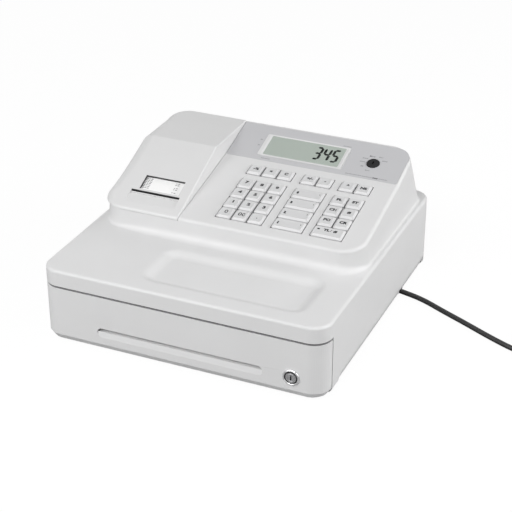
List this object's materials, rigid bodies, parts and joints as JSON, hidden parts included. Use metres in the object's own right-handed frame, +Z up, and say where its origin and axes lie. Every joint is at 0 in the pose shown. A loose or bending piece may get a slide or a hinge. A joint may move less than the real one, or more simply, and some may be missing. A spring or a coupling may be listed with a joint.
{
  "type": "cash register",
  "caption": "Compact shop cash register: locking slide-out coin and note drawer, sloped keyboard, tilted display panel and a hinged-cover receipt printer.",
  "frame": {"origin": "middle of the case footprint, lock included, on the surface that the feet stand on", "axes": "+Z up, the drawer opens towards -Y, +X to the right seen from the front"},
  "size_m": [0.6081, 0.347, 0.158],
  "materials": {
    "case_light_grey": "fine satin moulding texture, very light warm grey",
    "cover_light_grey": "fine satin moulding texture, very light grey",
    "fascia_grey": "smooth satin film, cool mid grey",
    "lens_clear": "clear flat acrylic",
    "lcd_green_grey": "greenish grey reflective liquid crystal panel",
    "smoked_window": "dark smoked acrylic",
    "key_grey": "satin key caps, light grey",
    "switch_black": "black satin",
    "rubber_grey": "grey silicone rubber",
    "board_green": "green solder mask with black and pale components",
    "chassis_grey": "dark grey glass-filled plastic",
    "paper_white": "white thermal paper",
    "platen_black": "black rubber sleeve on a steel axle",
    "transformer_steel": "varnished laminations",
    "solenoid_steel": "plated frame",
    "tray_steel": "grey powder coat",
    "till_grey": "textured grey plastic",
    "lock_chrome": "polished plating",
    "lock_brass": "nickel-plated brass with a steel cam",
    "clip_black": "black plastic",
    "latch_steel": "zinc-plated steel",
    "foot_rubber": "black rubber",
    "screw_steel": "zinc-plated steel",
    "cord_black": "black flexible sheath"
  },
  "bodies": {
    "case": {"base_case": "case_light_grey", "top_case": "case_light_grey", "display_fascia": "fascia_grey", "display_lens": "lens_clear", "lcd_panel": "lcd_green_grey", "customer_display": "smoked_window", "keypad_mat": "rubber_grey", "main_board": "board_green", "printer_chassis": "chassis_grey", "power_transformer": "transformer_steel", "release_solenoid": "solenoid_steel", "rubber_feet": "foot_rubber", "case_screws": "screw_steel", "strain_relief": "cord_black", "power_cord": "cord_black", "cord_coil": "cord_black", "power_plug": "cord_black"},
    "drawer": {"drawer_tray": "tray_steel", "drawer_front": "case_light_grey", "lock_barrel": "lock_chrome", "coin_tray": "till_grey"},
    "drawer_lock": {"lock_plug": "lock_brass"},
    "note_clip_1": {"bill_clip_1": "clip_black"},
    "note_clip_2": {"bill_clip_2": "clip_black"},
    "note_clip_3": {"bill_clip_3": "clip_black"},
    "drawer_latch": {"release_latch": "latch_steel"},
    "cover": {"printer_cover": "cover_light_grey"},
    "roll": {"paper_roll": "paper_white"},
    "platen": {"platen_roller": "platen_black"},
    "mode_selector": {"mode_switch": "switch_black"},
    "key_0": {"key_0": "key_grey"},
    "key_00": {"key_00": "key_grey"},
    "key_point": {"key_point": "key_grey"},
    "key_1": {"key_1": "key_grey"},
    "key_2": {"key_2": "key_grey"},
    "key_3": {"key_3": "key_grey"},
    "key_4": {"key_4": "key_grey"},
    "key_5": {"key_5": "key_grey"},
    "key_6": {"key_6": "key_grey"},
    "key_7": {"key_7": "key_grey"},
    "key_8": {"key_8": "key_grey"},
    "key_9": {"key_9": "key_grey"},
    "key_department_1": {"key_department_1": "key_grey"},
    "key_department_2": {"key_department_2": "key_grey"},
    "key_department_3": {"key_department_3": "key_grey"},
    "key_department_4": {"key_department_4": "key_grey"},
    "key_paid_out": {"key_paid_out": "key_grey"},
    "key_credit": {"key_credit": "key_grey"},
    "key_cheque": {"key_cheque": "key_grey"},
    "key_charge": {"key_charge": "key_grey"},
    "key_price_lookup": {"key_price_lookup": "key_grey"},
    "key_subtotal": {"key_subtotal": "key_grey"},
    "key_cash_total": {"key_cash_total": "key_grey"},
    "key_discount": {"key_discount": "key_grey"},
    "key_multiply": {"key_multiply": "key_grey"},
    "key_clear": {"key_clear": "key_grey"},
    "key_error_correct": {"key_error_correct": "key_grey"},
    "key_refund": {"key_refund": "key_grey"},
    "key_paper_feed": {"key_paper_feed": "key_grey"},
    "key_no_sale": {"key_no_sale": "key_grey"}
  },
  "joints": [
    {"name": "drawer_slide", "type": "slide", "parent": "case", "child": "drawer", "axis": [0, -1, 0], "range_m": [0, 0.23]},
    {"name": "drawer_lock_turn", "type": "hinge", "parent": "drawer", "child": "drawer_lock", "pos_m": [0.1285, -0.1535, 0.026], "axis": [0, -1, 0], "range_deg": [0, 90]},
    {"name": "printer_cover_hinge", "type": "hinge", "parent": "case", "child": "cover", "pos_m": [-0.1, 0.14338, 0.1314], "axis": [-1, 0, 0], "range_deg": [0, 80]},
    {"name": "paper_roll_spin", "type": "hinge", "parent": "case", "child": "roll", "pos_m": [-0.09775, 0.088, 0.1145], "axis": [1, 0, 0], "continuous": true},
    {"name": "platen_spin", "type": "hinge", "parent": "case", "child": "platen", "pos_m": [-0.09775, 0.008, 0.12885], "axis": [1, 0, 0], "continuous": true},
    {"name": "mode_switch_turn", "type": "hinge", "parent": "case", "child": "mode_selector", "pos_m": [0.1148, 0.10153, 0.14745], "axis": [0, -0.2851, 0.9585], "range_deg": [-75, 75]},
    {"name": "drawer_latch_pivot", "type": "hinge", "parent": "case", "child": "drawer_latch", "pos_m": [0.032, 0.1415, 0.061], "axis": [-1, 0, 0], "range_deg": [-14, 0], "stiffness_Nm_per_rad": 0.02, "springref_deg": 8.59},
    {"name": "note_clip_1_pivot", "type": "hinge", "parent": "drawer", "child": "note_clip_1", "pos_m": [-0.10167, 0.116, 0.0455], "axis": [-1, 0, 0], "range_deg": [0, 30], "stiffness_Nm_per_rad": 0.05, "springref_deg": -34.38},
    {"name": "note_clip_2_pivot", "type": "hinge", "parent": "drawer", "child": "note_clip_2", "pos_m": [0, 0.116, 0.0455], "axis": [-1, 0, 0], "range_deg": [0, 30], "stiffness_Nm_per_rad": 0.05, "springref_deg": -34.38},
    {"name": "note_clip_3_pivot", "type": "hinge", "parent": "drawer", "child": "note_clip_3", "pos_m": [0.10167, 0.116, 0.0455], "axis": [-1, 0, 0], "range_deg": [0, 30], "stiffness_Nm_per_rad": 0.05, "springref_deg": -34.38},
    {"name": "key_0_press", "type": "slide", "parent": "case", "child": "key_0", "axis": [0, 0.1961, -0.9806], "range_m": [0, 0.003], "stiffness_N_per_m": 200, "springref_m": -0.001},
    {"name": "key_00_press", "type": "slide", "parent": "case", "child": "key_00", "axis": [0, 0.1961, -0.9806], "range_m": [0, 0.003], "stiffness_N_per_m": 200, "springref_m": -0.001},
    {"name": "key_point_press", "type": "slide", "parent": "case", "child": "key_point", "axis": [0, 0.1961, -0.9806], "range_m": [0, 0.003], "stiffness_N_per_m": 200, "springref_m": -0.001},
    {"name": "key_1_press", "type": "slide", "parent": "case", "child": "key_1", "axis": [0, 0.1961, -0.9806], "range_m": [0, 0.003], "stiffness_N_per_m": 200, "springref_m": -0.001},
    {"name": "key_2_press", "type": "slide", "parent": "case", "child": "key_2", "axis": [0, 0.1961, -0.9806], "range_m": [0, 0.003], "stiffness_N_per_m": 200, "springref_m": -0.001},
    {"name": "key_3_press", "type": "slide", "parent": "case", "child": "key_3", "axis": [0, 0.1961, -0.9806], "range_m": [0, 0.003], "stiffness_N_per_m": 200, "springref_m": -0.001},
    {"name": "key_4_press", "type": "slide", "parent": "case", "child": "key_4", "axis": [0, 0.1961, -0.9806], "range_m": [0, 0.003], "stiffness_N_per_m": 200, "springref_m": -0.001},
    {"name": "key_5_press", "type": "slide", "parent": "case", "child": "key_5", "axis": [0, 0.1961, -0.9806], "range_m": [0, 0.003], "stiffness_N_per_m": 200, "springref_m": -0.001},
    {"name": "key_6_press", "type": "slide", "parent": "case", "child": "key_6", "axis": [0, 0.1961, -0.9806], "range_m": [0, 0.003], "stiffness_N_per_m": 200, "springref_m": -0.001},
    {"name": "key_7_press", "type": "slide", "parent": "case", "child": "key_7", "axis": [0, 0.1961, -0.9806], "range_m": [0, 0.003], "stiffness_N_per_m": 200, "springref_m": -0.001},
    {"name": "key_8_press", "type": "slide", "parent": "case", "child": "key_8", "axis": [0, 0.1961, -0.9806], "range_m": [0, 0.003], "stiffness_N_per_m": 200, "springref_m": -0.001},
    {"name": "key_9_press", "type": "slide", "parent": "case", "child": "key_9", "axis": [0, 0.1961, -0.9806], "range_m": [0, 0.003], "stiffness_N_per_m": 200, "springref_m": -0.001},
    {"name": "key_department_1_press", "type": "slide", "parent": "case", "child": "key_department_1", "axis": [0, 0.1961, -0.9806], "range_m": [0, 0.003], "stiffness_N_per_m": 200, "springref_m": -0.001},
    {"name": "key_department_2_press", "type": "slide", "parent": "case", "child": "key_department_2", "axis": [0, 0.1961, -0.9806], "range_m": [0, 0.003], "stiffness_N_per_m": 200, "springref_m": -0.001},
    {"name": "key_department_3_press", "type": "slide", "parent": "case", "child": "key_department_3", "axis": [0, 0.1961, -0.9806], "range_m": [0, 0.003], "stiffness_N_per_m": 200, "springref_m": -0.001},
    {"name": "key_department_4_press", "type": "slide", "parent": "case", "child": "key_department_4", "axis": [0, 0.1961, -0.9806], "range_m": [0, 0.003], "stiffness_N_per_m": 200, "springref_m": -0.001},
    {"name": "key_paid_out_press", "type": "slide", "parent": "case", "child": "key_paid_out", "axis": [0, 0.1961, -0.9806], "range_m": [0, 0.003], "stiffness_N_per_m": 200, "springref_m": -0.001},
    {"name": "key_credit_press", "type": "slide", "parent": "case", "child": "key_credit", "axis": [0, 0.1961, -0.9806], "range_m": [0, 0.003], "stiffness_N_per_m": 200, "springref_m": -0.001},
    {"name": "key_cheque_press", "type": "slide", "parent": "case", "child": "key_cheque", "axis": [0, 0.1961, -0.9806], "range_m": [0, 0.003], "stiffness_N_per_m": 200, "springref_m": -0.001},
    {"name": "key_charge_press", "type": "slide", "parent": "case", "child": "key_charge", "axis": [0, 0.1961, -0.9806], "range_m": [0, 0.003], "stiffness_N_per_m": 200, "springref_m": -0.001},
    {"name": "key_price_lookup_press", "type": "slide", "parent": "case", "child": "key_price_lookup", "axis": [0, 0.1961, -0.9806], "range_m": [0, 0.003], "stiffness_N_per_m": 200, "springref_m": -0.001},
    {"name": "key_subtotal_press", "type": "slide", "parent": "case", "child": "key_subtotal", "axis": [0, 0.1961, -0.9806], "range_m": [0, 0.003], "stiffness_N_per_m": 200, "springref_m": -0.001},
    {"name": "key_cash_total_press", "type": "slide", "parent": "case", "child": "key_cash_total", "axis": [0, 0.1961, -0.9806], "range_m": [0, 0.003], "stiffness_N_per_m": 200, "springref_m": -0.001},
    {"name": "key_discount_press", "type": "slide", "parent": "case", "child": "key_discount", "axis": [0, 0.1961, -0.9806], "range_m": [0, 0.003], "stiffness_N_per_m": 200, "springref_m": -0.001},
    {"name": "key_multiply_press", "type": "slide", "parent": "case", "child": "key_multiply", "axis": [0, 0.1961, -0.9806], "range_m": [0, 0.003], "stiffness_N_per_m": 200, "springref_m": -0.001},
    {"name": "key_clear_press", "type": "slide", "parent": "case", "child": "key_clear", "axis": [0, 0.1961, -0.9806], "range_m": [0, 0.003], "stiffness_N_per_m": 200, "springref_m": -0.001},
    {"name": "key_error_correct_press", "type": "slide", "parent": "case", "child": "key_error_correct", "axis": [0, 0.1961, -0.9806], "range_m": [0, 0.003], "stiffness_N_per_m": 200, "springref_m": -0.001},
    {"name": "key_refund_press", "type": "slide", "parent": "case", "child": "key_refund", "axis": [0, 0.1961, -0.9806], "range_m": [0, 0.003], "stiffness_N_per_m": 200, "springref_m": -0.001},
    {"name": "key_paper_feed_press", "type": "slide", "parent": "case", "child": "key_paper_feed", "axis": [0, 0.1961, -0.9806], "range_m": [0, 0.003], "stiffness_N_per_m": 200, "springref_m": -0.001},
    {"name": "key_no_sale_press", "type": "slide", "parent": "case", "child": "key_no_sale", "axis": [0, 0.1961, -0.9806], "range_m": [0, 0.003], "stiffness_N_per_m": 200, "springref_m": -0.001}
  ],
  "couplings": [
    {"joint": "platen_spin", "follows": "paper_roll_spin", "ratio": 5.2308}
  ]
}
